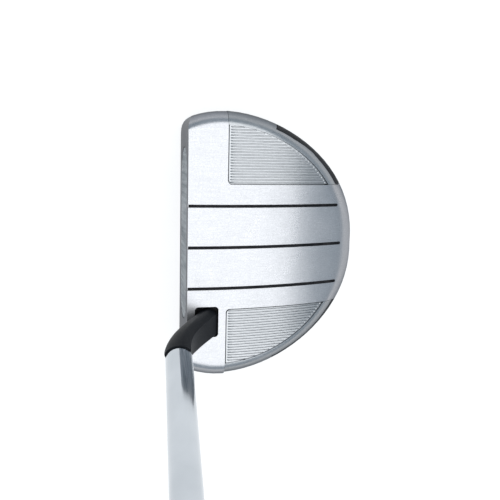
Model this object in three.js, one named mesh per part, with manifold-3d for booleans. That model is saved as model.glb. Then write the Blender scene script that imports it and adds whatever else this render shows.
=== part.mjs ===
// Mallet putter, right-handed, 34 inches long.
// Millimetres. +Z up, face towards -X, toe towards +Y, heel and player towards -Y.
// The origin is on the flat of the sole, on the centre alignment line.

import * as THREE from 'three';
import { mergeVertices } from 'three/addons/utils/BufferGeometryUtils.js';
import Module from 'manifold-3d';

const wasm = await Module();
wasm.setup();

// ---------------------------------------------------------------- driving dimensions

const FIT = 0.3;                  // clearance between pieces that are fitted together
const TIGHT = 0.12;               // clearance beside thin inlays

// Head outline
const FACE_X = -24;               // top edge of the face
const FACE_HEIGHT = 25.4;
const LOFT = THREE.MathUtils.degToRad(3.9);
const LEADING_EDGE = 0.5;         // chamfer under the face
const CAMBER_RADIUS = 150;        // crown curves down towards the rear
const CAMBER_TOP_X = FACE_X - 5.25;
const RIM_CENTRE = [FACE_X + 16, 0.3];
const RIM_RADIUS = 52.3;          // half the width of the rear, which is nearly a half circle
const RIM_STRETCH = 1.053;        // depth of the rear over its half width
const RIM_PINCH = 0.006;          // share of the radius lost halfway round to the trailing edge
const RIM_SHOULDER = 0.012;       // share gained beside the trailing edge, lost near the seam
const CROWN_EDGE_RADIUS = 46.8;   // where the flat of the crown meets the rounded rim
const RIM_ROUND = 10;             // radius of the rounded rim
const RIM_ROUND_RISE = 1.2;       // the crown cuts the rounded rim this far below its top
const RIM_BLEND = 1.3;            // how softly the crown runs into the rounded rim
const RIM_BLEND_INSET = 9.5;      // and how far in from the silhouette that starts
const RIM_REAR_FLATTEN = 0.7;     // share of the rim's depth lost at the thin trailing edge
const BAR_DEPTH = 15.2;           // front bar, face to seam
const BAR_END_RADIUS = 38;
const BAR_END_CENTRES = [[FACE_X + 14.5, 14.5], [FACE_X + 14.5, -14.6]];
const SOLE_EDGE_ROUND = 4;
const SOLE_FLAT_REAR_X = 18;
const SOLE_SWEEP_RADIUS = 150;
const SOLE_FLAT_HALF = 25;
const SOLE_ROCKER_RADIUS = 250;
const SEAM_X = FACE_X + BAR_DEPTH;
const RAIL_HALF = 24.3;           // centre rail that carries the alignment lines
const RAIL_FILLET = 1.5;          // in the corner between the bar and the rail

// Wings
const FLANGE_RADIUS = 41;         // lug of the head body under each wing
const FLANGE_THICK = 3;
const PANEL_RECESS = 0.7;
const PANEL_BORDER = 0.2;
const CHANNEL_EDGE = 0.45;        // narrow channel round the panel, beside the bar and the rail
const CHANNEL_DEPTH = 2.2;
const WING_SCREWS = [[2, 33], [17.5, 29]];
const WING_SCREW_HEAD_RADIUS = 2.6;
const WING_SCREW_HEAD = 1.6;
const WING_SCREW_RADIUS = 1.5;
const WING_SCREW_LENGTH = 7.5;

// Strips let into the wall of the rim
const STRIP_FROM = THREE.MathUtils.degToRad(28.5);
const STRIP_TO = THREE.MathUtils.degToRad(68.5);
const STRIP_TOP_DROP = { toe: 2.3, heel: 2.9 };  // below the crown edge
const STRIP_BOTTOM_DROP = 8.6;
const STRIP_DEPTH = 3.4;          // in from the silhouette

// Alignment lines
const LINE_SPACING = 16;
const LINE_WIDTH = 1;
const LINE_DEPTH = 0.8;
const LINE_ENDS = { toe: 63, centre: 65, heel: 63.2 };

// Face insert
const INSERT_LENGTH = 68;
const INSERT_HEIGHT = 16.4;
const INSERT_THICK = 3.6;
const INSERT_CENTRE_Y = 4.2;
const INSERT_CENTRE_Z = 12.7;
const BACKING_THICK = 1;
const BACKING_INSET = 3;
const INSERT_GROOVES = 9;
const INSERT_GROOVE_DEPTH = 0.35;
const INSERT_GROOVE_WIDTH = 0.5;

// Hosel
const POCKET = { x: [FACE_X + 3, FACE_X + 12.3], y: [-35.3, -23.2], corner: 1.4, floor: 21.6 };
const NECK_FRONT = -4.1;          // section of the foot, about its own centre
const NECK_REAR = 4.0;
const NECK_HEEL = -5.2;
const NECK_TOE = 5.1;
const NECK_TOE_CORNER = 3.3;
const NECK_BASE = new THREE.Vector3(FACE_X + 7.7, -29.3, 24.4);
const HOSEL_TOP = new THREE.Vector3(FACE_X - 4.5, -34, 56.2);
const HOSEL_TOP_RADIUS = 5.25;
const POST_LENGTH = 25;
const HOSEL_SCREW_PLACE = [FACE_X + 7, -30.5];
const HOSEL_SCREW_RADIUS = 2;
const HOSEL_SCREW_HEAD_RADIUS = 3.5;
const HOSEL_SCREW_HEAD = 3;
const HOSEL_SCREW_TOP = 27;

// Sole weights
const WEIGHT_RADIUS = 5.5;
const WEIGHT_HEIGHT = 8;
const WEIGHT_PLACES = { toe: [FACE_X + 8.2, 40.5], heel: [FACE_X + 8.2, -43] };

// Shaft
const LIE = THREE.MathUtils.degToRad(70);
const FORWARD_TILT = THREE.MathUtils.degToRad(0.5);
const SHAFT_TIP_RADIUS = 4.7;
const SHAFT_BUTT_RADIUS = 7.3;
const SHAFT_WALL = 0.6;
const SHAFT_TIP_PARALLEL = 215;   // length above the hosel before the first step
const SHAFT_STEP_PITCH = 32;
const SHAFT_STEPS = 10;
const SHAFT_LENGTH = 800;

// Grip
const GRIP_LENGTH = 266;
const GRIP_BUTT_OVERHANG = 6;     // rubber past the end of the shaft
const GRIP_TAPE_THICK = 0.35;
const GRIP_TIP_SCALE = 0.72;
const GRIP_WIDTH = 24;
const GRIP_DEPTH = 28;
const CAP_RADIUS = 8.5;
const CAP_THICK = 3;
const VENT_RADIUS = 1.6;

// ---------------------------------------------------------------- solids and meshes

// A closed geometry as a solid that can be joined and cut.
function solidOf(geometry) {
  const bare = geometry.clone();
  bare.deleteAttribute('normal');
  bare.deleteAttribute('uv');
  const merged = mergeVertices(bare, 1e-4);
  const index = merged.index.array;
  const corners = [];
  for (let i = 0; i < index.length; i += 3) {
    const [a, b, c] = [index[i], index[i + 1], index[i + 2]];
    if (a !== b && b !== c && c !== a) {
      corners.push(a, b, c);
    }
  }
  return new wasm.Manifold(new wasm.Mesh({
    numProp: 3,
    vertProperties: Float32Array.from(merged.attributes.position.array),
    triVerts: Uint32Array.from(corners),
  }));
}

// A solid's surface as a geometry.
function geometryOf(solid) {
  const surface = solid.getMesh();
  const geometry = new THREE.BufferGeometry();
  geometry.setAttribute('position', new THREE.BufferAttribute(surface.vertProperties, 3));
  geometry.setIndex(new THREE.BufferAttribute(surface.triVerts, 1));
  geometry.computeVertexNormals();
  return geometry;
}

function paint(color, roughness, metalness) {
  return new THREE.MeshStandardMaterial({ color, roughness, metalness });
}

// Extrusions along a world axis: the shape is drawn in (y, z), (x, z) or (x, y).
const X_AXIS = new THREE.Vector3(1, 0, 0);
const Y_AXIS = new THREE.Vector3(0, 1, 0);
const Z_AXIS = new THREE.Vector3(0, 0, 1);

function extrude(shape, depth, curveSegments) {
  return new THREE.ExtrudeGeometry(shape, { depth, bevelEnabled: false, curveSegments });
}

function extrudeX(shape, from, to, curveSegments = 12) {
  return extrude(shape, to - from, curveSegments)
    .translate(0, 0, from)
    .applyMatrix4(new THREE.Matrix4().makeBasis(Y_AXIS, Z_AXIS, X_AXIS));
}

function extrudeY(shape, from, to, curveSegments = 12) {
  return extrude(shape, to - from, curveSegments)
    .translate(0, 0, -to)
    .applyMatrix4(new THREE.Matrix4().makeBasis(X_AXIS, Z_AXIS, Y_AXIS.clone().negate()));
}

function extrudeZ(shape, from, to, curveSegments = 12) {
  return extrude(shape, to - from, curveSegments).translate(0, 0, from);
}

function box(x, y, z) {
  return new THREE.BoxGeometry(x[1] - x[0], y[1] - y[0], z[1] - z[0])
    .translate((x[0] + x[1]) / 2, (y[0] + y[1]) / 2, (z[0] + z[1]) / 2);
}

// Turns a shape that is round about the z axis into the plan of the rear.
function shapeRear(geometry) {
  const position = geometry.attributes.position;
  for (let i = 0; i < position.count; i += 1) {
    const [x, y] = [position.getX(i), position.getY(i)];
    const angle = 2 * Math.atan2(Math.abs(y), x);
    const scale = 1 - RIM_PINCH * Math.sin(angle) ** 2 + RIM_SHOULDER * Math.sin(2 * angle);
    position.setXY(i, x * RIM_STRETCH * scale, y * scale);
  }
  return geometry.translate(...RIM_CENTRE, 0);
}

function rearDisc(radius, from, to, sides) {
  const disc = new THREE.CylinderGeometry(radius, radius, to - from, sides)
    .rotateX(Math.PI / 2)
    .translate(0, 0, (from + to) / 2);
  return shapeRear(disc);
}

function upright(radius, x, y, from, to, sides = 32) {
  return new THREE.CylinderGeometry(radius, radius, to - from, sides)
    .rotateX(Math.PI / 2)
    .translate(x, y, (from + to) / 2);
}

// A profile of [radius, height] pairs turned about a vertical axis.
function turned(profile, sides) {
  const points = profile.map(([radius, height]) => new THREE.Vector2(radius, height));
  return new THREE.LatheGeometry(points, sides).rotateX(Math.PI / 2);
}

function roundedRectangle(width, height, corner) {
  const shape = new THREE.Shape();
  const [w, h] = [width / 2, height / 2];
  shape.absarc(w - corner, h - corner, corner, 0, Math.PI / 2);
  shape.absarc(-w + corner, h - corner, corner, Math.PI / 2, Math.PI);
  shape.absarc(-w + corner, -h + corner, corner, Math.PI, 1.5 * Math.PI);
  shape.absarc(w - corner, -h + corner, corner, 1.5 * Math.PI, 2 * Math.PI);
  return shape;
}

// ---------------------------------------------------------------- head outline

const CAMBER_CENTRE_Z = FACE_HEIGHT
  - Math.sqrt(CAMBER_RADIUS ** 2 - (FACE_X - CAMBER_TOP_X) ** 2);

function crownHeight(x) {
  return CAMBER_CENTRE_Z + Math.sqrt(CAMBER_RADIUS ** 2 - (x - CAMBER_TOP_X) ** 2);
}

// The rim gets shallower towards the thin trailing edge.
function rimDepthScale(x) {
  const back = Math.max(0, (x - RIM_CENTRE[0]) / (RIM_RADIUS * RIM_STRETCH));
  return 1 - RIM_REAR_FLATTEN * back ** 4;
}

// Adds the arc of the crown, lowered by drop, to a side view: from behind forward to the face.
function addCrownArc(shape, rearX, drop) {
  const radius = CAMBER_RADIUS - drop;
  const angleAt = (x) => Math.acos((x - CAMBER_TOP_X) / radius);
  shape.absarc(CAMBER_TOP_X, CAMBER_CENTRE_Z, radius, angleAt(rearX), angleAt(FACE_X));
}

// Side view: lofted face, crown and sole.
function sideProfile() {
  const rearX = FACE_X + 72.5;
  const sweepEnd = Math.asin((rearX - SOLE_FLAT_REAR_X) / SOLE_SWEEP_RADIUS);
  const shape = new THREE.Shape();
  shape.moveTo(FACE_X - Math.tan(LOFT) * FACE_HEIGHT + LEADING_EDGE, 0);
  shape.lineTo(SOLE_FLAT_REAR_X, 0);
  shape.absarc(SOLE_FLAT_REAR_X, SOLE_SWEEP_RADIUS, SOLE_SWEEP_RADIUS,
    -Math.PI / 2, -Math.PI / 2 + sweepEnd);
  addCrownArc(shape, rearX, 0);
  shape.lineTo(FACE_X - Math.tan(LOFT) * (FACE_HEIGHT - LEADING_EDGE), LEADING_EDGE);
  return shape;
}

// Everything under the crown when that is lowered by drop.
function underCrown(drop) {
  const [rearX, bottom] = [FACE_X + 80, -10];
  const shape = new THREE.Shape();
  shape.moveTo(FACE_X, bottom);
  shape.lineTo(rearX, bottom);
  addCrownArc(shape, rearX, drop);
  return solidOf(extrudeY(shape, -FAR, FAR, 20));
}

// Front view: the sole is flat in the middle and rises towards toe and heel.
function frontProfile() {
  const half = 60;
  const lift = Math.asin((half - SOLE_FLAT_HALF) / SOLE_ROCKER_RADIUS);
  const shape = new THREE.Shape();
  shape.moveTo(-SOLE_FLAT_HALF, 0);
  shape.lineTo(SOLE_FLAT_HALF, 0);
  shape.absarc(SOLE_FLAT_HALF, SOLE_ROCKER_RADIUS, SOLE_ROCKER_RADIUS,
    -Math.PI / 2, -Math.PI / 2 + lift);
  shape.lineTo(half, 40);
  shape.lineTo(-half, 40);
  shape.absarc(-SOLE_FLAT_HALF, SOLE_ROCKER_RADIUS, SOLE_ROCKER_RADIUS,
    -Math.PI / 2 - lift, -Math.PI / 2);
  return shape;
}

// Height of the rim above the crown's plane, at an inset from the silhouette: the lower of the
// crown and the rounded rim, blended into each other.
function rimProfile(inset) {
  const fromTop = RIM_ROUND - Math.min(inset, RIM_ROUND);
  const rounded = RIM_ROUND_RISE - RIM_ROUND + Math.sqrt(RIM_ROUND ** 2 - fromTop ** 2);
  const share = THREE.MathUtils.clamp(0.5 + rounded / (2 * RIM_BLEND), 0, 1);
  return THREE.MathUtils.lerp(rounded, 0, share) - RIM_BLEND * share * (1 - share);
}

// A blank with the rounded rim on top, which follows the camber, and a small round below.
// It is turned about the z axis, and then shaped and moved to its place.
function roundBlank(radius, sides, shaped) {
  const rimSteps = 11;
  const soleSteps = 3;
  const capHeight = FACE_HEIGHT + 8;
  const top = [[0, -40], [radius, -40]];
  for (let i = 0; i <= rimSteps; i += 1) {
    const inset = RIM_BLEND_INSET * (i / rimSteps) ** 2;
    top.push([radius - inset, FACE_HEIGHT + rimProfile(inset)]);
  }
  top.push([radius - RIM_BLEND_INSET - 1, capHeight], [0, capHeight]);
  const upper = shaped(turned(top, sides));
  const position = upper.attributes.position;
  for (let i = 0; i < position.count; i += 1) {
    const x = position.getX(i);
    const aboveCrown = position.getZ(i) - FACE_HEIGHT;
    position.setZ(i, crownHeight(x) + aboveCrown * rimDepthScale(x));
  }

  const bottom = [[0, 0]];
  for (let i = 0; i <= soleSteps; i += 1) {
    const angle = (i / soleSteps) * Math.PI / 2;
    bottom.push([
      radius - SOLE_EDGE_ROUND * (1 - Math.sin(angle)),
      SOLE_EDGE_ROUND * (1 - Math.cos(angle)),
    ]);
  }
  bottom.push([radius, 50], [0, 50]);
  const lower = shaped(turned(bottom, sides));
  return solidOf(upper).intersect(solidOf(lower));
}

// Plan of the front corners, leaning with the loft.
function frontCorners() {
  const shape = new THREE.Shape();
  shape.moveTo(FACE_X + 100, 60);
  shape.lineTo(FACE_X + 20, 60);
  shape.lineTo(FACE_X + 3.5, 51);
  shape.quadraticCurveTo(FACE_X, 49, FACE_X, 44.4);
  shape.lineTo(FACE_X, -45.2);
  shape.quadraticCurveTo(FACE_X, -49.4, FACE_X + 3.5, -51);
  shape.lineTo(FACE_X + 20, -60);
  shape.lineTo(FACE_X + 100, -60);
  const lean = new THREE.Matrix4().set(
    1, 0, Math.tan(LOFT), -Math.tan(LOFT) * FACE_HEIGHT,
    0, 1, 0, 0,
    0, 0, 1, 0,
    0, 0, 0, 1,
  );
  return extrudeZ(shape, -10, 60, 6).applyMatrix4(lean);
}

const FAR = 80;
const sideSolid = solidOf(extrudeY(sideProfile(), -FAR, FAR, 20));
const outline = sideSolid.intersect(solidOf(extrudeX(frontProfile(), -FAR, FAR, 4)));
const rearBlank = roundBlank(RIM_RADIUS, 88, shapeRear).intersect(outline);
const [toeEnd, heelEnd] = BAR_END_CENTRES.map((centre) => (
  roundBlank(BAR_END_RADIUS, 72, (blank) => blank.translate(...centre, 0))
));
const barBlank = toeEnd.add(heelEnd)
  .intersect(outline)
  .intersect(solidOf(frontCorners()));

// ---------------------------------------------------------------- head parts

const headMetal = paint(0xdfe1e4, 0.35, 0.9);
const wingMetal = paint(0xc3c6c9, 0.4, 0.9);
const blackRubber = paint(0x1b1c1e, 0.6, 0);
const blackFill = paint(0x101114, 0.5, 0);
const insertMetal = paint(0x8d9996, 0.4, 0.85);
const hoselBlack = paint(0x24272b, 0.55, 0.4);
const steel = paint(0x9c9fa3, 0.35, 1);

const group = new THREE.Group();

function place(name, solid, material, parent = group) {
  const mesh = new THREE.Mesh(geometryOf(solid), material);
  mesh.name = name;
  parent.add(mesh);
  return mesh;
}

// A band of the crown between two radii of the camber, from the face to a rounded rear end.
function crownBand(outerRadius, innerRadius, frontX, rearX, y, width) {
  const band = new THREE.Shape();
  const angleAt = (x, radius) => Math.acos((x - CAMBER_TOP_X) / radius);
  band.absarc(CAMBER_TOP_X, CAMBER_CENTRE_Z, outerRadius,
    angleAt(frontX, outerRadius), angleAt(rearX, outerRadius), true);
  band.absarc(CAMBER_TOP_X, CAMBER_CENTRE_Z, innerRadius,
    angleAt(rearX, innerRadius), angleAt(frontX, innerRadius), false);
  const planFrontX = frontX - 2;
  const plan = roundedRectangle(rearX - planFrontX, width, width / 2 - 0.01);
  const upper = extrudeZ(plan, 0, FAR, 6).translate((planFrontX + rearX) / 2, y, 0);
  return solidOf(extrudeY(band, y - width, y + width, 12)).intersect(solidOf(upper));
}

function alignmentStrip(length, y) {
  return crownBand(CAMBER_RADIUS, CAMBER_RADIUS - LINE_DEPTH, FACE_X + 0.2, FACE_X + length,
    y, LINE_WIDTH);
}

function lineSlot(length, y) {
  return crownBand(CAMBER_RADIUS + 3, CAMBER_RADIUS - LINE_DEPTH - TIGHT, FACE_X - 4,
    FACE_X + length + TIGHT, y, LINE_WIDTH + 2 * TIGHT);
}

const LINES = [
  ['toe', LINE_SPACING],
  ['centre', 0],
  ['heel', -LINE_SPACING],
];

// The face insert and its pocket lean back with the loft about the top edge of the face.
const faceFrame = new THREE.Group();
faceFrame.position.set(FACE_X, INSERT_CENTRE_Y, FACE_HEIGHT);
faceFrame.rotation.y = LOFT;
group.add(faceFrame);
faceFrame.updateMatrixWorld(true);
const INSERT_DOWN = (FACE_HEIGHT - INSERT_CENTRE_Z) / Math.cos(LOFT);

function faceSlab(grow, from, to) {
  const shape = roundedRectangle(INSERT_LENGTH + 2 * grow, INSERT_HEIGHT + 2 * grow,
    INSERT_HEIGHT / 2 + grow - 0.01);
  return extrudeX(shape, from, to, 10).translate(0, 0, -INSERT_DOWN);
}

const INSERT_FRONT = 0.1;
const INSERT_REAR = INSERT_FRONT + INSERT_THICK;
const BACKING_FRONT = INSERT_REAR + FIT;
const BACKING_REAR = BACKING_FRONT + BACKING_THICK;

function facePocket() {
  const shallow = faceSlab(FIT, -5, BACKING_FRONT).applyMatrix4(faceFrame.matrixWorld);
  const deep = faceSlab(FIT - BACKING_INSET, 0, BACKING_REAR + FIT)
    .applyMatrix4(faceFrame.matrixWorld);
  return solidOf(shallow).add(solidOf(deep));
}

function makeFaceInsert() {
  let insert = solidOf(faceSlab(0, INSERT_FRONT, INSERT_REAR));
  const pitch = INSERT_HEIGHT / (INSERT_GROOVES + 1);
  for (let i = 1; i <= INSERT_GROOVES; i += 1) {
    const z = -INSERT_DOWN - INSERT_HEIGHT / 2 + i * pitch;
    const half = INSERT_GROOVE_WIDTH / 2;
    const groove = box([-1, INSERT_FRONT + INSERT_GROOVE_DEPTH], [-FAR, FAR],
      [z - half, z + half]);
    insert = insert.subtract(solidOf(groove));
  }
  place('face_insert', insert, insertMetal, faceFrame);

  place('insert_backing', solidOf(faceSlab(-BACKING_INSET, BACKING_FRONT, BACKING_REAR)),
    blackRubber, faceFrame);
}

// Hosel pocket in the crown.
function hoselPocket() {
  const [[left, right], [bottom, top]] = [POCKET.x, POCKET.y];
  const shape = roundedRectangle(right - left, top - bottom, POCKET.corner);
  const pocket = extrudeZ(shape, POCKET.floor, 60, 5);
  return solidOf(pocket.translate((left + right) / 2, (bottom + top) / 2, 0));
}

const wingScrewPlaces = [];
for (const side of [1, -1]) {
  WING_SCREWS.forEach(([x, y], i) => {
    wingScrewPlaces.push({
      name: `${side > 0 ? 'toe' : 'heel'}_wing_screw_${i === 0 ? 'front' : 'rear'}`,
      x,
      y: side * y,
    });
  });
}

// Counterbored holes come up through the sole.
function soleHole(x, y, headRadius, headDepth, radius, top) {
  const bore = solidOf(upright(headRadius + FIT, x, y, -5, headDepth + FIT, 24));
  return bore.add(solidOf(upright(radius + FIT, x, y, -5, top, 20)));
}

// Everything behind the seam and beside the rail, a gap away from both, with a rounded corner.
function besideRail(side, railGap, seamGap = TIGHT) {
  const [left, inner] = [SEAM_X + seamGap, RAIL_HALF + railGap];
  const shape = new THREE.Shape();
  shape.moveTo(left, FAR);
  shape.lineTo(left, inner + RAIL_FILLET);
  shape.absarc(left + RAIL_FILLET, inner + RAIL_FILLET, RAIL_FILLET, Math.PI, 1.5 * Math.PI);
  shape.lineTo(FAR, inner);
  shape.lineTo(FAR, FAR);
  const block = solidOf(extrudeZ(shape, -5, FAR, 6));
  return side > 0 ? block : block.mirror([0, 1, 0]);
}

// The fillets in the two corners between the bar and the rail.
function railFillets() {
  const across = RAIL_HALF + RAIL_FILLET;
  return solidOf(box([SEAM_X - 1, SEAM_X + RAIL_FILLET], [-across, across], [0, FAR]))
    .subtract(besideRail(1, 0, 0))
    .subtract(besideRail(-1, 0, 0))
    .intersect(rearBlank);
}

function makeHeadBody() {
  const bar = barBlank.intersect(solidOf(box([-FAR, SEAM_X], [-FAR, FAR], [-FAR, FAR])));
  const rail = rearBlank.intersect(
    solidOf(box([SEAM_X - 1, FAR], [-RAIL_HALF, RAIL_HALF], [-FAR, FAR])),
  );
  const flange = rearBlank
    .intersect(solidOf(rearDisc(FLANGE_RADIUS, -5, FLANGE_THICK, 64)))
    .intersect(solidOf(box([SEAM_X - 1, FAR], [-FAR, FAR], [-5, FLANGE_THICK])));
  let body = bar.add(rail).add(railFillets()).add(flange);
  body = body.subtract(facePocket()).subtract(hoselPocket());
  for (const [name, y] of LINES) {
    body = body.subtract(lineSlot(LINE_ENDS[name], y));
  }
  for (const [x, y] of Object.values(WEIGHT_PLACES)) {
    body = body.subtract(solidOf(upright(WEIGHT_RADIUS + FIT, x, y, -5, WEIGHT_HEIGHT + 1, 32)));
  }
  for (const { x, y } of wingScrewPlaces) {
    body = body.subtract(soleHole(x, y, WING_SCREW_HEAD_RADIUS, WING_SCREW_HEAD,
      WING_SCREW_RADIUS, FLANGE_THICK + 2));
  }
  body = body.subtract(soleHole(...HOSEL_SCREW_PLACE, HOSEL_SCREW_HEAD_RADIUS,
    HOSEL_SCREW_HEAD, HOSEL_SCREW_RADIUS, POCKET.floor + 1));
  place('head_body', body, headMetal);
}

// A band of the rim wall between two heights below the crown edge, following the camber.
function rimBand(inner, topDrop, bottomDrop, from, to) {
  const sides = 24;
  const shape = new THREE.Shape();
  shape.absarc(0, 0, RIM_RADIUS + 5, from, to, false);
  shape.absarc(0, 0, inner, to, from, true);
  const rough = shapeRear(extrude(shape, 1, sides));
  const position = rough.attributes.position;
  for (let i = 0; i < position.count; i += 1) {
    const x = position.getX(i);
    const drop = position.getZ(i) > 0.5 ? topDrop : bottomDrop;
    position.setZ(i, crownHeight(x) - drop * rimDepthScale(x));
  }
  return solidOf(rough);
}

// Each wing sits on its flange beside the rail; side is 1 for the toe and -1 for the heel.
function makeWing(name, side) {
  const panelArea = solidOf(rearDisc(CROWN_EDGE_RADIUS - PANEL_BORDER, -5, FAR, 88));
  const flangeRoom = solidOf(rearDisc(FLANGE_RADIUS + FIT, -5, FLANGE_THICK + FIT, 64));
  const [from, to] = [STRIP_FROM * side, STRIP_TO * side].sort((a, b) => a - b);
  const inner = RIM_RADIUS - STRIP_DEPTH;
  const slack = FIT / RIM_RADIUS;
  const slot = rimBand(inner - TIGHT, STRIP_TOP_DROP[name] - FIT, STRIP_BOTTOM_DROP + FIT,
    from - slack, to + slack);
  const strip = rimBand(inner, STRIP_TOP_DROP[name], STRIP_BOTTOM_DROP, from, to)
    .intersect(besideRail(side, FIT));

  let wing = rearBlank.intersect(besideRail(side, TIGHT));
  const channel = panelArea
    .subtract(underCrown(CHANNEL_DEPTH))
    .subtract(besideRail(side, CHANNEL_EDGE, CHANNEL_EDGE));
  wing = wing.subtract(panelArea.subtract(underCrown(PANEL_RECESS))).subtract(channel);
  wing = wing.subtract(flangeRoom).subtract(slot);
  for (const { x, y } of wingScrewPlaces.filter((screw) => screw.y * side > 0)) {
    wing = wing.subtract(solidOf(upright(WING_SCREW_RADIUS + FIT, x, y, -5,
      WING_SCREW_LENGTH + 1, 20)));
  }
  place(`${name}_wing`, wing, wingMetal);
  place(`${name}_rim_insert`, rearBlank.intersect(strip), blackRubber);
}

function makeAlignmentInlays() {
  for (const [name, y] of LINES) {
    const strip = alignmentStrip(LINE_ENDS[name], y).intersect(outline);
    place(`alignment_inlay_${name}`, strip, blackFill);
  }
}

// A screw with its head down, flush in the sole, and a hexagon socket.
function makeScrew(name, x, y, headRadius, headHeight, radius, length) {
  const sink = 0.4;
  const head = solidOf(upright(headRadius, x, y, sink, headHeight, 24));
  const shank = solidOf(upright(radius, x, y, headHeight - 0.5, length, 20));
  const socketRadius = headRadius * 0.55;
  const socket = solidOf(upright(socketRadius, x, y, -1, headHeight * 0.6, 6));
  place(name, head.add(shank).subtract(socket), steel);
}

function makeSoleHardware() {
  for (const { name, x, y } of wingScrewPlaces) {
    makeScrew(name, x, y, WING_SCREW_HEAD_RADIUS, WING_SCREW_HEAD, WING_SCREW_RADIUS,
      WING_SCREW_LENGTH);
  }
  makeScrew('hosel_screw', ...HOSEL_SCREW_PLACE, HOSEL_SCREW_HEAD_RADIUS,
    HOSEL_SCREW_HEAD, HOSEL_SCREW_RADIUS, HOSEL_SCREW_TOP);
  for (const [side, [x, y]] of Object.entries(WEIGHT_PLACES)) {
    const slug = solidOf(upright(WEIGHT_RADIUS, x, y, 1.4, WEIGHT_HEIGHT, 32));
    const socket = solidOf(upright(2.4, x, y, -1, 4, 6));
    place(`${side}_weight`, slug.subtract(socket), steel);
  }
}

// ---------------------------------------------------------------- hosel

const shaftUp = new THREE.Vector3(
  -Math.sin(FORWARD_TILT),
  -Math.cos(LIE) * Math.cos(FORWARD_TILT),
  Math.sin(LIE) * Math.cos(FORWARD_TILT),
);

// Section of the foot: flat to the rear and heel, rounded to the toe.
function neckSection() {
  const shape = new THREE.Shape();
  shape.moveTo(NECK_FRONT + 0.8, NECK_HEEL);
  shape.lineTo(NECK_REAR - 0.8, NECK_HEEL);
  shape.quadraticCurveTo(NECK_REAR, NECK_HEEL, NECK_REAR, NECK_HEEL + 0.8);
  shape.lineTo(NECK_REAR, NECK_TOE_CORNER);
  shape.quadraticCurveTo(NECK_REAR - 2.5, NECK_TOE + 0.6, 0.2, NECK_TOE);
  shape.quadraticCurveTo(NECK_FRONT, NECK_TOE - 0.6, NECK_FRONT, 1.2);
  shape.lineTo(NECK_FRONT, NECK_HEEL + 0.8);
  shape.quadraticCurveTo(NECK_FRONT, NECK_HEEL, NECK_FRONT + 0.8, NECK_HEEL);
  return shape;
}

// The neck leans forward and bends into the line of the shaft, where it is round.
function makeHosel() {
  const spine = new THREE.CubicBezierCurve3(
    NECK_BASE,
    NECK_BASE.clone().add(new THREE.Vector3(-6.2, -1.4, 12)),
    HOSEL_TOP.clone().addScaledVector(shaftUp, -10),
    HOSEL_TOP,
  );
  const neck = new THREE.ExtrudeGeometry(neckSection(), {
    depth: 1, steps: 24, bevelEnabled: false, curveSegments: 8,
  });
  const across = new THREE.Vector3().crossVectors(shaftUp, X_AXIS).normalize();
  const position = neck.attributes.position;
  for (let i = 0; i < position.count; i += 1) {
    const along = position.getZ(i);
    const flat = new THREE.Vector2(position.getX(i), position.getY(i));
    const round = flat.clone().setLength(HOSEL_TOP_RADIUS);
    flat.lerp(round, THREE.MathUtils.smoothstep(along, 0.45, 1));
    const towardsToe = Y_AXIS.clone().lerp(across, along).normalize();
    const point = spine.getPoint(along)
      .addScaledVector(X_AXIS, flat.x)
      .addScaledVector(towardsToe, flat.y);
    position.setXYZ(i, point.x, point.y, point.z);
  }
  const foot = extrudeZ(neckSection(), POCKET.floor + FIT, NECK_BASE.z, 8)
    .translate(NECK_BASE.x, NECK_BASE.y, 0);
  const postRadius = SHAFT_TIP_RADIUS - SHAFT_WALL - FIT;
  const post = new THREE.CylinderGeometry(postRadius - 0.4, postRadius, POST_LENGTH + 2, 24)
    .rotateX(Math.PI / 2)
    .translate(0, 0, POST_LENGTH / 2 - 1)
    .applyQuaternion(new THREE.Quaternion().setFromUnitVectors(Z_AXIS, shaftUp))
    .translate(HOSEL_TOP.x, HOSEL_TOP.y, HOSEL_TOP.z);
  const thread = upright(HOSEL_SCREW_RADIUS + FIT, ...HOSEL_SCREW_PLACE, 0,
    HOSEL_SCREW_TOP + FIT, 20);
  const hosel = solidOf(neck).add(solidOf(foot)).add(solidOf(post)).subtract(solidOf(thread));
  place('hosel', hosel, hoselBlack);
}

// ---------------------------------------------------------------- shaft and grip

// Everything on the shaft's axis is drawn upright, with zero at the shaft's lower end.
const shaftFrame = new THREE.Group();
shaftFrame.position.copy(HOSEL_TOP).addScaledVector(shaftUp, FIT);
shaftFrame.quaternion.setFromUnitVectors(Z_AXIS, shaftUp);
group.add(shaftFrame);

function makeShaft() {
  const profile = [[SHAFT_TIP_RADIUS - SHAFT_WALL, 0], [SHAFT_TIP_RADIUS, 0]];
  const rise = (SHAFT_BUTT_RADIUS - SHAFT_TIP_RADIUS) / SHAFT_STEPS;
  let radius = SHAFT_TIP_RADIUS;
  for (let i = 0; i < SHAFT_STEPS; i += 1) {
    const height = SHAFT_TIP_PARALLEL + i * SHAFT_STEP_PITCH;
    profile.push([radius, height], [radius + rise, height + 1]);
    radius += rise;
  }
  profile.push([radius, SHAFT_LENGTH], [radius - SHAFT_WALL, SHAFT_LENGTH]);
  const lastStep = SHAFT_TIP_PARALLEL + SHAFT_STEPS * SHAFT_STEP_PITCH;
  profile.push([radius - SHAFT_WALL, lastStep]);
  profile.push([SHAFT_TIP_RADIUS - SHAFT_WALL, SHAFT_TIP_PARALLEL]);
  profile.push(profile[0]);
  place('shaft', solidOf(turned(profile, 28)), paint(0xc9d0d6, 0.12, 1), shaftFrame);
}

function tube(inner, outer, from, to, sides = 28) {
  return turned([[inner, from], [outer, from], [outer, to], [inner, to], [inner, from]], sides);
}

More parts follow.
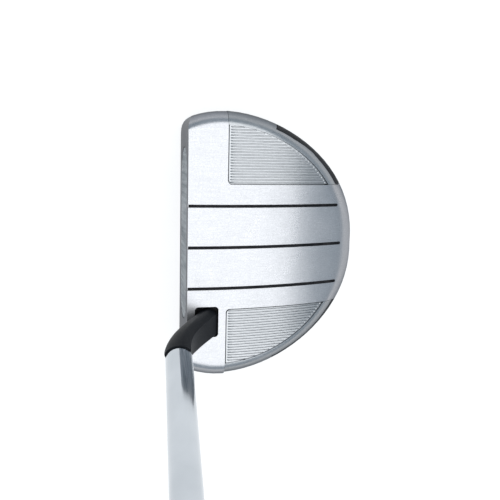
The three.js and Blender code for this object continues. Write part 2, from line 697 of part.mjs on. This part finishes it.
// Pistol section: flat towards the toe, rounded behind.
function gripSection() {
  const shape = new THREE.Shape();
  const flat = 8.5;
  const half = GRIP_WIDTH / 2;
  shape.moveTo(-flat + 2, flat + 1);
  shape.quadraticCurveTo(-half, flat + 1, -half, 1);
  shape.bezierCurveTo(-half, -10, -5.5, flat + 1 - GRIP_DEPTH, 0, flat + 1 - GRIP_DEPTH);
  shape.bezierCurveTo(5.5, flat + 1 - GRIP_DEPTH, half, -10, half, 1);
  shape.quadraticCurveTo(half, flat + 1, flat - 2, flat + 1);
  return shape;
}

function makeGrip() {
  const start = SHAFT_LENGTH + GRIP_BUTT_OVERHANG - GRIP_LENGTH;
  const rubber = new THREE.ExtrudeGeometry(gripSection(), {
    depth: GRIP_LENGTH, steps: 14, bevelEnabled: false, curveSegments: 7,
  });
  const position = rubber.attributes.position;
  for (let i = 0; i < position.count; i += 1) {
    const along = position.getZ(i) / GRIP_LENGTH;
    const swell = THREE.MathUtils.smoothstep(along, 0.35, 0.95);
    const wide = GRIP_TIP_SCALE + (1 - GRIP_TIP_SCALE) * along;
    const deep = 0.62 + 0.14 * along + 0.24 * swell;
    const back = position.getY(i) < 0;
    position.setX(i, position.getX(i) * wide);
    position.setY(i, position.getY(i) * (back ? deep : 0.9 + 0.1 * along));
  }
  rubber.translate(0, 0, start);
  const boreRadius = SHAFT_BUTT_RADIUS + GRIP_TAPE_THICK + 2 * TIGHT;
  const bore = turned([[0, start - 5], [boreRadius, start - 5],
    [boreRadius, SHAFT_LENGTH + FIT], [0, SHAFT_LENGTH + FIT]], 28);
  const seat = turned([[0, SHAFT_LENGTH], [VENT_RADIUS, SHAFT_LENGTH],
    [VENT_RADIUS, SHAFT_LENGTH + GRIP_BUTT_OVERHANG - CAP_THICK],
    [CAP_RADIUS + TIGHT, SHAFT_LENGTH + GRIP_BUTT_OVERHANG - CAP_THICK],
    [CAP_RADIUS + TIGHT, SHAFT_LENGTH + GRIP_BUTT_OVERHANG + 5],
    [0, SHAFT_LENGTH + GRIP_BUTT_OVERHANG + 5]], 28);
  const grip = solidOf(rubber).subtract(solidOf(bore)).subtract(solidOf(seat));
  place('grip', grip, paint(0x17181a, 0.8, 0), shaftFrame);

  const capFrom = SHAFT_LENGTH + GRIP_BUTT_OVERHANG - CAP_THICK + TIGHT;
  const cap = tube(VENT_RADIUS, CAP_RADIUS, capFrom, SHAFT_LENGTH + GRIP_BUTT_OVERHANG, 28);
  place('grip_end_cap', solidOf(cap), paint(0x202124, 0.6, 0), shaftFrame);

  const tapeInner = SHAFT_BUTT_RADIUS + TIGHT;
  const tape = tube(tapeInner, tapeInner + GRIP_TAPE_THICK, start + 4, SHAFT_LENGTH - 2);
  place('grip_tape', solidOf(tape), paint(0xd8d2bd, 0.9, 0), shaftFrame);
}

// ---------------------------------------------------------------- assembly

makeHeadBody();
makeWing('toe', 1);
makeWing('heel', -1);
makeAlignmentInlays();
makeFaceInsert();
makeSoleHardware();
makeHosel();
makeShaft();
makeGrip();

export default group;
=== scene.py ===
"""A mallet putter on a pale floor, under one large softbox.

The pieces are fine copies of the CAD nodes. The crown, the rounded rim and the milled panels
get the exact normals of the surfaces that they belong to. The wing panels are grooved here.
"""

import math

import bmesh
import bpy
from mathutils import Matrix, Vector
from mathutils.bvhtree import BVHTree


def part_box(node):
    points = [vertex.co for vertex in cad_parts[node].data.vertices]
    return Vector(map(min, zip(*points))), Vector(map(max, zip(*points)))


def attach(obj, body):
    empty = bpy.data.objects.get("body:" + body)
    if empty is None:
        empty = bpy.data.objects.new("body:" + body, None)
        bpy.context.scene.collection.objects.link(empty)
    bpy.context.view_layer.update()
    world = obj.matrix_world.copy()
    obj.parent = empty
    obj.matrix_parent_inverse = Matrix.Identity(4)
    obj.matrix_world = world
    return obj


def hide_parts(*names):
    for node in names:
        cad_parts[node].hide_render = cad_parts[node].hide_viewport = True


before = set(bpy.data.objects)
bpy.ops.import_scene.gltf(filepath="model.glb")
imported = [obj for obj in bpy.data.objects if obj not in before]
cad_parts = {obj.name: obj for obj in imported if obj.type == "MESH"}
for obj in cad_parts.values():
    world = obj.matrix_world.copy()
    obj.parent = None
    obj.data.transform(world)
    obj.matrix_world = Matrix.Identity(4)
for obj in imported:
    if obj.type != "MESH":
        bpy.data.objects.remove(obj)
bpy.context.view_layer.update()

MM = 0.001

# ------------------------------------------------------------------ places, from the frame

SOLE_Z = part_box("head_body")[0].z
WING_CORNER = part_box("toe_wing")[0]
SEAM_X = WING_CORNER.x  # front faces of the wings
RAIL_HALF = WING_CORNER.y  # their inner faces, beside the centre rail

# Surfaces of the head, with the names and values of the CAD source
FACE_X = -24 * MM
FACE_HEIGHT = 25.4 * MM
CAMBER_RADIUS = 150 * MM
CAMBER_X = -29.25 * MM
CAMBER_Z = FACE_HEIGHT - math.sqrt(CAMBER_RADIUS**2 - (FACE_X - CAMBER_X) ** 2)
RIM_CENTRE = (-8 * MM, 0.3 * MM)
RIM_RADIUS = 52.3 * MM
RIM_STRETCH = 1.053
RIM_PINCH = 0.006
RIM_SHOULDER = 0.012
RIM_ROUND = 10 * MM
RIM_RISE = 1.2 * MM
RIM_BLEND = 1.3 * MM
RIM_INSET = 9.5 * MM
RIM_REAR_FLATTEN = 0.7
BAR_CENTRES = ((-9.5 * MM, 14.5 * MM), (-9.5 * MM, -14.6 * MM))
BAR_RADIUS = 38 * MM
PANEL_RECESS = 0.7 * MM

# How closely a facet has to match one of those surfaces to get its exact normals
SURFACE_REACH = 0.3 * MM
RIM_OFFSET = 0.15 * MM
RIM_WALL_SLOPE = 0.2
RIM_WALL_HEIGHT = 12 * MM
RIM_MATCH = 0.955
CROWN_OFFSET = 0.06 * MM
CROWN_MATCH = 0.99
UNDERSIDE_SLOPE = -0.05
SLOPE_STEP = 0.02 * MM


def crown_height(x, radius=CAMBER_RADIUS):
    return CAMBER_Z + math.sqrt(max(radius**2 - (x - CAMBER_X) ** 2, 0.0))


def crown_normal(x, radius=CAMBER_RADIUS):
    return Vector((x - CAMBER_X, 0, math.sqrt(radius**2 - (x - CAMBER_X) ** 2))).normalized()


def rim_depth_scale(x):
    back = max(0.0, (x - RIM_CENTRE[0]) / (RIM_RADIUS * RIM_STRETCH))
    return 1 - RIM_REAR_FLATTEN * back**4


def rear_radius(x, y):
    """Distance from the rear's centre, with the shaping of its plan undone."""
    dx, dy = (x - RIM_CENTRE[0]) / RIM_STRETCH, abs(y - RIM_CENTRE[1])
    angle = 2 * math.atan2(dy, dx)
    scale = 1 - RIM_PINCH * math.sin(angle) ** 2 + RIM_SHOULDER * math.sin(2 * angle)
    return math.hypot(dx, dy) / scale


def rim_height(x, y, radius_at, rim_radius):
    """Height of the rim, which runs softly out of the crown, above a point of the plan."""
    out = max(radius_at(x, y) - (rim_radius - RIM_ROUND), 0.0)
    out = min(out, RIM_ROUND - SLOPE_STEP)
    rounded = RIM_RISE - RIM_ROUND + math.sqrt(RIM_ROUND**2 - out**2)
    share = min(max(0.5 + rounded / (2 * RIM_BLEND), 0.0), 1.0)
    blended = rounded * (1 - share) - RIM_BLEND * share * (1 - share)
    return crown_height(x) + blended * rim_depth_scale(x)


def rim_normal(x, y, radius_at, rim_radius):
    def height(dx, dy):
        return rim_height(x + dx, y + dy, radius_at, rim_radius)

    rise_x = height(SLOPE_STEP, 0) - height(-SLOPE_STEP, 0)
    rise_y = height(0, SLOPE_STEP) - height(0, -SLOPE_STEP)
    return Vector((-rise_x, -rise_y, 2 * SLOPE_STEP)).normalized()


def centred(cx, cy):
    return lambda x, y: math.hypot(x - cx, y - cy)


REAR_RIM = [(rear_radius, RIM_RADIUS)]
BAR_RIMS = [(centred(*centre), BAR_RADIUS) for centre in BAR_CENTRES]


def head_surface_normal(point, face_normal):
    """The exact normal where a face lies on the crown, a panel or the rim, or None."""
    x, y, z = point
    if face_normal.z < UNDERSIDE_SLOPE:
        return None
    best = None
    for radius_at, rim_radius in BAR_RIMS if x < SEAM_X - CROWN_OFFSET else REAR_RIM:
        out = radius_at(x, y)
        if rim_radius - RIM_INSET - SURFACE_REACH < out < rim_radius + SURFACE_REACH:
            exact = rim_normal(x, y, radius_at, rim_radius)
            match = exact.dot(face_normal)
            off = abs(z - rim_height(x, y, radius_at, rim_radius))
            on_wall = exact.z < RIM_WALL_SLOPE and off < RIM_WALL_HEIGHT
            near = off * exact.z < RIM_OFFSET or on_wall
            if near and match > RIM_MATCH and (best is None or match > best[0]):
                best = (match, exact)
    if best:
        return best[1]
    for radius in (CAMBER_RADIUS, CAMBER_RADIUS - PANEL_RECESS):
        if abs(z - crown_height(x, radius)) < CROWN_OFFSET:
            exact = crown_normal(x, radius)
            if exact.dot(face_normal) > CROWN_MATCH:
                return exact
    return None


# ------------------------------------------------------------------ meshes

SHARP = math.radians(32)
WELD = 0.002 * MM
SLIVER = 0.001 * MM


def smooth(obj, angle=SHARP, surface=None):
    """Smooth shading that breaks at sharp edges; surface gives exact normals where it can."""
    mesh = obj.data
    mesh.shade_smooth()
    bm = bmesh.new()
    bm.from_mesh(mesh)
    for edge in bm.edges:
        edge.smooth = len(edge.link_faces) == 2 and edge.calc_face_angle(0) < angle
    bm.to_mesh(mesh)
    bm.free()
    if surface is None:
        return
    normals = [Vector(n.vector) for n in mesh.corner_normals]
    for polygon in mesh.polygons:
        for loop in polygon.loop_indices:
            point = mesh.vertices[mesh.loops[loop].vertex_index].co
            exact = surface(point, polygon.normal)
            if exact is not None:
                normals[loop] = exact
    mesh.normals_split_custom_set(normals)


def copy_of(node, name, angle=SHARP, surface=None, change=None):
    """A fine copy of a CAD node, which it then stands for."""
    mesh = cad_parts[node].data.copy()
    mesh.name = name
    mesh.materials.clear()
    piece = bpy.data.objects.new(name, mesh)
    bpy.context.scene.collection.objects.link(piece)
    if mesh.has_custom_normals:
        mesh.attributes.remove(mesh.attributes["custom_normal"])
    bm = bmesh.new()
    bm.from_mesh(mesh)
    bmesh.ops.remove_doubles(bm, verts=bm.verts, dist=WELD)
    bmesh.ops.dissolve_degenerate(bm, edges=bm.edges, dist=SLIVER)
    bm.to_mesh(mesh)
    bm.free()
    if change:
        change(piece)
    smooth(piece, angle, surface)
    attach(piece, "root")
    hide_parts(node)
    return piece


GROOVE_PITCH = 1.05 * MM
GROOVE_HALF = 0.27 * MM
GROOVE_DEPTH = 0.3 * MM
GROOVE_BORDER = 0.75 * MM
GROOVE_RUN_OUT = 0.5 * MM
GROOVE_LIFT = 0.3 * MM
GROOVE_END_LIFT = 0.05 * MM
GROOVE_STATION = 3 * MM
SHORTEST_GROOVE = 5 * MM
PROBE_STEP = 0.1 * MM
PROBE_HEIGHT = 60 * MM
PANEL_OFFSET = 0.08 * MM


def cut_grooves(piece):
    """Mills the grooves of a wing's panel, which run along X and end short of its border."""
    bm = bmesh.new()
    bm.from_mesh(piece.data)
    tree = BVHTree.FromBMesh(bm)
    bm.free()
    floor_radius = CAMBER_RADIUS - PANEL_RECESS

    def on_panel(x, y):
        hit = tree.ray_cast(Vector((x, y, PROBE_HEIGHT)), Vector((0, 0, -1)))[0]
        return hit is not None and abs(hit.z - crown_height(x, floor_radius)) < PANEL_OFFSET

    side = 1 if piece.data.vertices[0].co.y > 0 else -1
    cutter = bmesh.new()
    y = RAIL_HALF + GROOVE_BORDER
    while True:
        across = y * side
        left = SEAM_X + GROOVE_BORDER
        right = left
        while on_panel(right + PROBE_STEP, across):
            right += PROBE_STEP
        right -= GROOVE_BORDER
        if right - left < SHORTEST_GROOVE:
            break
        stations = [left, left + GROOVE_RUN_OUT]
        steps = max(3, int((right - left) / GROOVE_STATION))
        inner = right - left - 2 * GROOVE_RUN_OUT
        stations += [left + GROOVE_RUN_OUT + inner * i / steps for i in range(1, steps + 1)]
        stations.append(right)
        rings = []
        for i, x in enumerate(stations):
            depth = GROOVE_DEPTH if 0 < i < len(stations) - 1 else -GROOVE_END_LIFT
            surface = crown_height(x, floor_radius)
            wide = GROOVE_HALF * (1 + GROOVE_LIFT / GROOVE_DEPTH * 0.5)
            section = [
                (-wide, GROOVE_LIFT),
                (wide, GROOVE_LIFT),
                (GROOVE_HALF * 0.5, -depth),
                (-GROOVE_HALF * 0.5, -depth),
            ]
            rings.append([cutter.verts.new((x, across + a, surface + b)) for a, b in section])
        for one, two in zip(rings, rings[1:]):
            for k in range(4):
                m = (k + 1) % 4
                cutter.faces.new((one[k], one[m], two[m], two[k]))
        cutter.faces.new(rings[0][::-1])
        cutter.faces.new(rings[-1])
        y += GROOVE_PITCH
    bmesh.ops.recalc_face_normals(cutter, faces=cutter.faces)
    tool_mesh = bpy.data.meshes.new("groove_tool")
    cutter.to_mesh(tool_mesh)
    cutter.free()
    tool = bpy.data.objects.new("groove_tool", tool_mesh)
    bpy.context.scene.collection.objects.link(tool)
    cut = piece.modifiers.new("grooves", "BOOLEAN")
    cut.object = tool
    cut.operation = "DIFFERENCE"
    cut.solver = "EXACT"
    evaluated = piece.evaluated_get(bpy.context.evaluated_depsgraph_get())
    result = bpy.data.meshes.new_from_object(evaluated)
    piece.modifiers.clear()
    piece.data = result
    result.name = piece.name
    bpy.data.objects.remove(tool)
    bpy.data.meshes.remove(tool_mesh)


# ------------------------------------------------------------------ materials


class Material:
    """A Principled material whose nodes are added by short calls."""

    def __init__(self, name, metallic=0.0, **sockets):
        self.material = bpy.data.materials.new(name)
        self.material.use_nodes = True
        self.tree = self.material.node_tree
        self.shader = self.tree.nodes["Principled BSDF"]
        self.color = None
        self.roughness = None
        self.shader.inputs["Metallic"].default_value = metallic
        for socket, value in sockets.items():
            self.shader.inputs[socket.replace("_", " ")].default_value = value
        self.place = self.node("ShaderNodeTexCoord").outputs["Object"]
        self.normal = None

    def node(self, kind, links=None, **settings):
        made = self.tree.nodes.new(kind)
        for key, value in settings.items():
            setattr(made, key, value)
        for socket, value in (links or {}).items():
            target = made.inputs[socket]
            if isinstance(value, bpy.types.NodeSocket):
                self.tree.links.new(value, target)
            else:
                target.default_value = value
        return made

    def stretched(self, scale):
        """Object coordinates scaled along each axis, for grain with a direction."""
        return self.node(
            "ShaderNodeMapping", {"Vector": self.place, "Scale": scale}
        ).outputs["Vector"]

    def noise(self, scale, detail=2.0, vector=None, roughness=0.5):
        return self.node(
            "ShaderNodeTexNoise",
            {
                "Vector": vector or self.place,
                "Scale": scale,
                "Detail": detail,
                "Roughness": roughness,
            },
        ).outputs["Fac"]

    def ramp(self, value, low, high, to_low=0.0, to_high=1.0):
        return self.node(
            "ShaderNodeMapRange",
            {
                "Value": value,
                "From Min": low,
                "From Max": high,
                "To Min": to_low,
                "To Max": to_high,
            },
        ).outputs["Result"]

    def mix(self, factor, a, b):
        made = self.node("ShaderNodeMix", {"Factor": factor}, data_type="RGBA")
        for index, value in ((6, a), (7, b)):
            if isinstance(value, bpy.types.NodeSocket):
                self.tree.links.new(value, made.inputs[index])
            else:
                made.inputs[index].default_value = (*value, 1)
        return made.outputs[2]

    def tint(self, factor, color, tint):
        made = self.node("ShaderNodeMix", {"Factor": factor}, data_type="RGBA")
        made.blend_type = "MULTIPLY"
        self.tree.links.new(color, made.inputs[6])
        made.inputs[7].default_value = (*tint, 1)
        return made.outputs[2]

    def bump(self, height, distance, strength=1.0):
        links = {"Height": height, "Distance": distance, "Strength": strength}
        if self.normal is not None:
            links["Normal"] = self.normal
        self.normal = self.node("ShaderNodeBump", links).outputs["Normal"]

    def finish(self):
        self.tree.links.new(self.color, self.shader.inputs["Base Color"])
        if self.roughness is not None:
            self.tree.links.new(self.roughness, self.shader.inputs["Roughness"])
        if self.normal is not None:
            self.tree.links.new(self.normal, self.shader.inputs["Normal"])
        return self.material


EDGE_TINT = (0.35, 0.35, 0.35)
# Painted shade: a dim bluish tone multiplied into faces that turn away from up.
WALL_PAINTED_SHADE = (0.54, 0.57, 0.61)


def satin_metal(name, color, roughness, grain=0.5, brush=0.5):
    """Fine blasted metal with faint mill marks along X and duller patches.

    Painted shade: the colour is multiplied darker and bluer where the surface turns away from
    up, over the rim and down the walls.
    """
    made = Material(name, metallic=1.0, Specular_Tint=(*EDGE_TINT, 1))
    blast = made.noise(2600, 3)
    marks = made.noise(1.0, 3, made.stretched((90, 2400, 900)))
    patches = made.noise(70, 3)
    darker = tuple(c * 0.72 for c in color)
    shade = made.mix(made.ramp(blast, 0.3, 0.7), darker, color)
    shade = made.mix(made.ramp(marks, 0.35, 0.7, 0.0, brush), shade, darker)
    facing = made.node("ShaderNodeNewGeometry").outputs["Normal"]
    upward = made.node("ShaderNodeSeparateXYZ", {"Vector": facing}).outputs["Z"]
    # Painted shade: faces that turn away from up, over the rim and down the walls, are
    # darkened and blued.
    made.color = made.tint(made.ramp(upward, 0.55, 0.89, 1.0, 0.0), shade, WALL_PAINTED_SHADE)
    made.roughness = made.ramp(patches, 0.3, 0.7, roughness - 0.03, roughness + 0.04)
    made.bump(blast, 0.014 * MM, grain)
    made.bump(marks, 0.022 * MM, brush)
    return made.finish()


def black_rubber(name):
    made = Material(name, Specular_IOR_Level=0.08)
    fine = made.noise(3200, 3)
    bloom = made.ramp(made.noise(300, 3), 0.4, 0.7)
    made.color = made.mix(bloom, (0.010, 0.011, 0.013), (0.018, 0.019, 0.022))
    made.roughness = made.ramp(fine, 0.3, 0.7, 0.5, 0.68)
    made.bump(fine, 0.02 * MM, 0.6)
    return made.finish()


def black_fill(name):
    made = Material(name, Specular_IOR_Level=0.12)
    ripple = made.noise(1.0, 2, made.stretched((160, 900, 500)))
    thin = made.ramp(ripple, 0.45, 0.75)
    made.color = made.mix(thin, (0.003, 0.003, 0.004), (0.016, 0.015, 0.016))
    made.roughness = made.ramp(ripple, 0.3, 0.7, 0.32, 0.55)
    made.bump(ripple, 0.04 * MM, 0.7)
    return made.finish()


def matte_black(name):
    made = Material(name, Specular_IOR_Level=0.13)
    fine = made.noise(3000, 3)
    worn = made.ramp(made.noise(260, 4), 0.6, 0.8, 0, 0.35)
    made.color = made.mix(worn, (0.007, 0.008, 0.010), (0.014, 0.016, 0.020))
    made.roughness = made.ramp(fine, 0.3, 0.7, 0.42, 0.58)
    made.bump(fine, 0.008 * MM, 0.5)
    return made.finish()


def chrome(name):
    made = Material(name, metallic=1.0)
    drawn = made.noise(1.0, 3, made.stretched((1400, 1400, 25)))
    smudge = made.noise(45, 4)
    made.color = made.mix(made.ramp(smudge, 0.35, 0.7), (0.57, 0.60, 0.63), (0.48, 0.51, 0.54))
    made.roughness = made.ramp(smudge, 0.35, 0.7, 0.05, 0.13)
    made.bump(drawn, 0.002 * MM, 0.25)
    return made.finish()


def milled_insert(name):
    made = Material(name, metallic=1.0)
    streak = made.noise(1.0, 3, made.stretched((500, 700, 40)))
    made.color = made.mix(made.ramp(streak, 0.35, 0.7), (0.24, 0.28, 0.31), (0.12, 0.15, 0.17))
    made.roughness = made.ramp(streak, 0.3, 0.7, 0.28, 0.42)
    made.bump(streak, 0.02 * MM, 0.5)
    return made.finish()


def steel(name):
    made = Material(name, metallic=1.0)
    turned = made.noise(1.0, 3, made.stretched((900, 900, 200)))
    made.color = made.mix(made.ramp(turned, 0.3, 0.7), (0.46, 0.47, 0.48), (0.32, 0.33, 0.34))
    made.roughness = made.ramp(turned, 0.3, 0.7, 0.24, 0.4)
    made.bump(turned, 0.01 * MM, 0.5)
    return made.finish()


def grip_rubber(name):
    made = Material(name)
    cells = made.node(
        "ShaderNodeTexVoronoi", {"Vector": made.stretched((420, 420, 420)), "Scale": 1.0}
    ).outputs["Distance"]
    fine = made.noise(2400, 2)
    dots = made.ramp(cells, 0.15, 0.5)
    made.color = made.mix(dots, (0.02, 0.02, 0.022), (0.008, 0.008, 0.009))
    made.roughness = made.ramp(fine, 0.3, 0.7, 0.62, 0.85)
    made.bump(dots, 0.12 * MM, 0.6)
    made.bump(fine, 0.02 * MM, 0.5)
    return made.finish()


def tape(name):
    made = Material(name)
    weave = made.noise(1500, 3)
    made.color = made.mix(made.ramp(weave, 0.3, 0.7), (0.66, 0.62, 0.52), (0.5, 0.46, 0.38))
    made.roughness = made.ramp(weave, 0.3, 0.7, 0.75, 0.95)
    made.bump(weave, 0.03 * MM, 0.6)
    return made.finish()


HEAD = satin_metal("satin_head", (0.625, 0.62, 0.63), 0.29)
WING = satin_metal("satin_wing", (0.55, 0.555, 0.56), 0.30)
RUBBER = black_rubber("strip_rubber")
FILL = black_fill("line_paint")
HOSEL = matte_black("hosel_coating")
CHROME = chrome("chrome")
INSERT = milled_insert("insert_alloy")
STEEL = steel("screw_steel")
GRIP = grip_rubber("grip_compound")
TAPE = tape("grip_tape_cloth")


def painted(piece, material):
    piece.data.materials.clear()
    piece.data.materials.append(material)
    for polygon in piece.data.polygons:
        polygon.material_index = 0
    return piece


# ------------------------------------------------------------------ pieces

casting = copy_of("head_body", "head_casting", surface=head_surface_normal)
painted(casting, HEAD)
casting.data.materials.append(FILL)

# The walls and floor of the hosel's pocket get the black fill material.
POCKET_X = (FACE_X + 2.9 * MM, FACE_X + 12.4 * MM)
POCKET_Y = (-35.4 * MM, -23.1 * MM)
POCKET_LIP = 0.1 * MM
pocket_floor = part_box("hosel")[0].z - 1 * MM
for polygon in casting.data.polygons:
    x, y, z = polygon.center
    inside = POCKET_X[0] < x < POCKET_X[1] and POCKET_Y[0] < y < POCKET_Y[1]
    if inside and pocket_floor < z < crown_height(x) - POCKET_LIP:
        polygon.material_index = 1
for side in ("toe", "heel"):
    painted(
        copy_of(
            f"{side}_wing", f"{side}_wing_plate",
            surface=head_surface_normal, change=cut_grooves,
        ),
        WING,
    )
    painted(
        copy_of(f"{side}_rim_insert", f"{side}_rim_strip",
                surface=head_surface_normal),
        RUBBER,
    )
    painted(copy_of(f"{side}_weight", f"{side}_weight_slug"), STEEL)
    for place in ("front", "rear"):
        painted(
            copy_of(f"{side}_wing_screw_{place}", f"{side}_screw_{place}"), STEEL
        )
for line in ("toe", "centre", "heel"):
    painted(
        copy_of(f"alignment_inlay_{line}", f"alignment_line_{line}",
                surface=head_surface_normal),
        FILL,
    )
painted(copy_of("face_insert", "face_insert_milled"), INSERT)
painted(copy_of("insert_backing", "insert_pad"), RUBBER)
painted(copy_of("hosel_screw", "hosel_bolt"), STEEL)
painted(copy_of("hosel", "hosel_neck", angle=math.radians(38)), HOSEL)
painted(copy_of("shaft", "shaft_tube", angle=math.radians(40)), CHROME)
painted(copy_of("grip", "grip_body", angle=math.radians(40)), GRIP)
painted(copy_of("grip_end_cap", "grip_cap"), RUBBER)
painted(copy_of("grip_tape", "grip_tape_layer"), TAPE)

# ------------------------------------------------------------------ floor, light, camera

FLOOR_HALF = 6.0
FLOOR_GAP = 0.2 * MM
FLOOR_GLOW = 0.72
WORLD_COLOR = (0.72, 0.86, 1.0)
WORLD_STRENGTH = 0.54
SOFTBOX_SIZE = 3.1
SOFTBOX_RADIANCE = 1.46
SOFTBOX_PLACE = (0.2, 0, 1.4)
CAMERA_RIGHT = Vector((0.98857, 0.02102, 0.14928))
CAMERA_UP = Vector((-0.00076, 0.99091, -0.13451))
CAMERA_PLACE = Vector((-39.608, 34.248, 283.304)) * MM
CAMERA_LENS = 48.96
CAMERA_SENSOR = 36


def floor_material():
    made = Material("pale_floor")
    made.shader.inputs["Roughness"].default_value = 0.9
    fine = made.noise(60, 3)
    made.color = made.mix(made.ramp(fine, 0.3, 0.7), (0.31, 0.31, 0.31), (0.29, 0.29, 0.29))
    made.shader.inputs["Emission Color"].default_value = (1, 1, 1, 1)
    made.shader.inputs["Emission Strength"].default_value = FLOOR_GLOW
    return made.finish()


floor_mesh = bpy.data.meshes.new("floor")
corners = [(-1, -1), (1, -1), (1, 1), (-1, 1)]
floor_mesh.from_pydata(
    [(x * FLOOR_HALF, y * FLOOR_HALF, SOLE_Z - FLOOR_GAP) for x, y in corners],
    [],
    [(0, 1, 2, 3)],
)
floor = bpy.data.objects.new("floor", floor_mesh)
bpy.context.scene.collection.objects.link(floor)
floor_mesh.materials.append(floor_material())

world = bpy.data.worlds.new("studio")
world.use_nodes = True
background = world.node_tree.nodes["Background"]
background.inputs["Color"].default_value = (*WORLD_COLOR, 1)
background.inputs["Strength"].default_value = WORLD_STRENGTH
bpy.context.scene.world = world

softbox_light = bpy.data.lights.new("softbox", "AREA")
softbox_light.shape = "RECTANGLE"
softbox_light.size = SOFTBOX_SIZE
softbox_light.size_y = SOFTBOX_SIZE
softbox_light.energy = SOFTBOX_RADIANCE * math.pi * SOFTBOX_SIZE**2
softbox = bpy.data.objects.new("softbox", softbox_light)
softbox.location = SOFTBOX_PLACE
bpy.context.scene.collection.objects.link(softbox)

camera_data = bpy.data.cameras.new("camera")
camera_data.sensor_width = CAMERA_SENSOR
camera_data.lens = CAMERA_LENS
camera_data.clip_start = 0.01
camera = bpy.data.objects.new("camera", camera_data)
back = CAMERA_RIGHT.cross(CAMERA_UP).normalized()
up = back.cross(CAMERA_RIGHT).normalized()
turn = Matrix((CAMERA_RIGHT.normalized(), up, back)).transposed().to_4x4()
camera.matrix_world = Matrix.Translation(CAMERA_PLACE) @ turn
bpy.context.scene.collection.objects.link(camera)
bpy.context.scene.camera = camera
bpy.context.scene.view_settings.view_transform = "Standard"
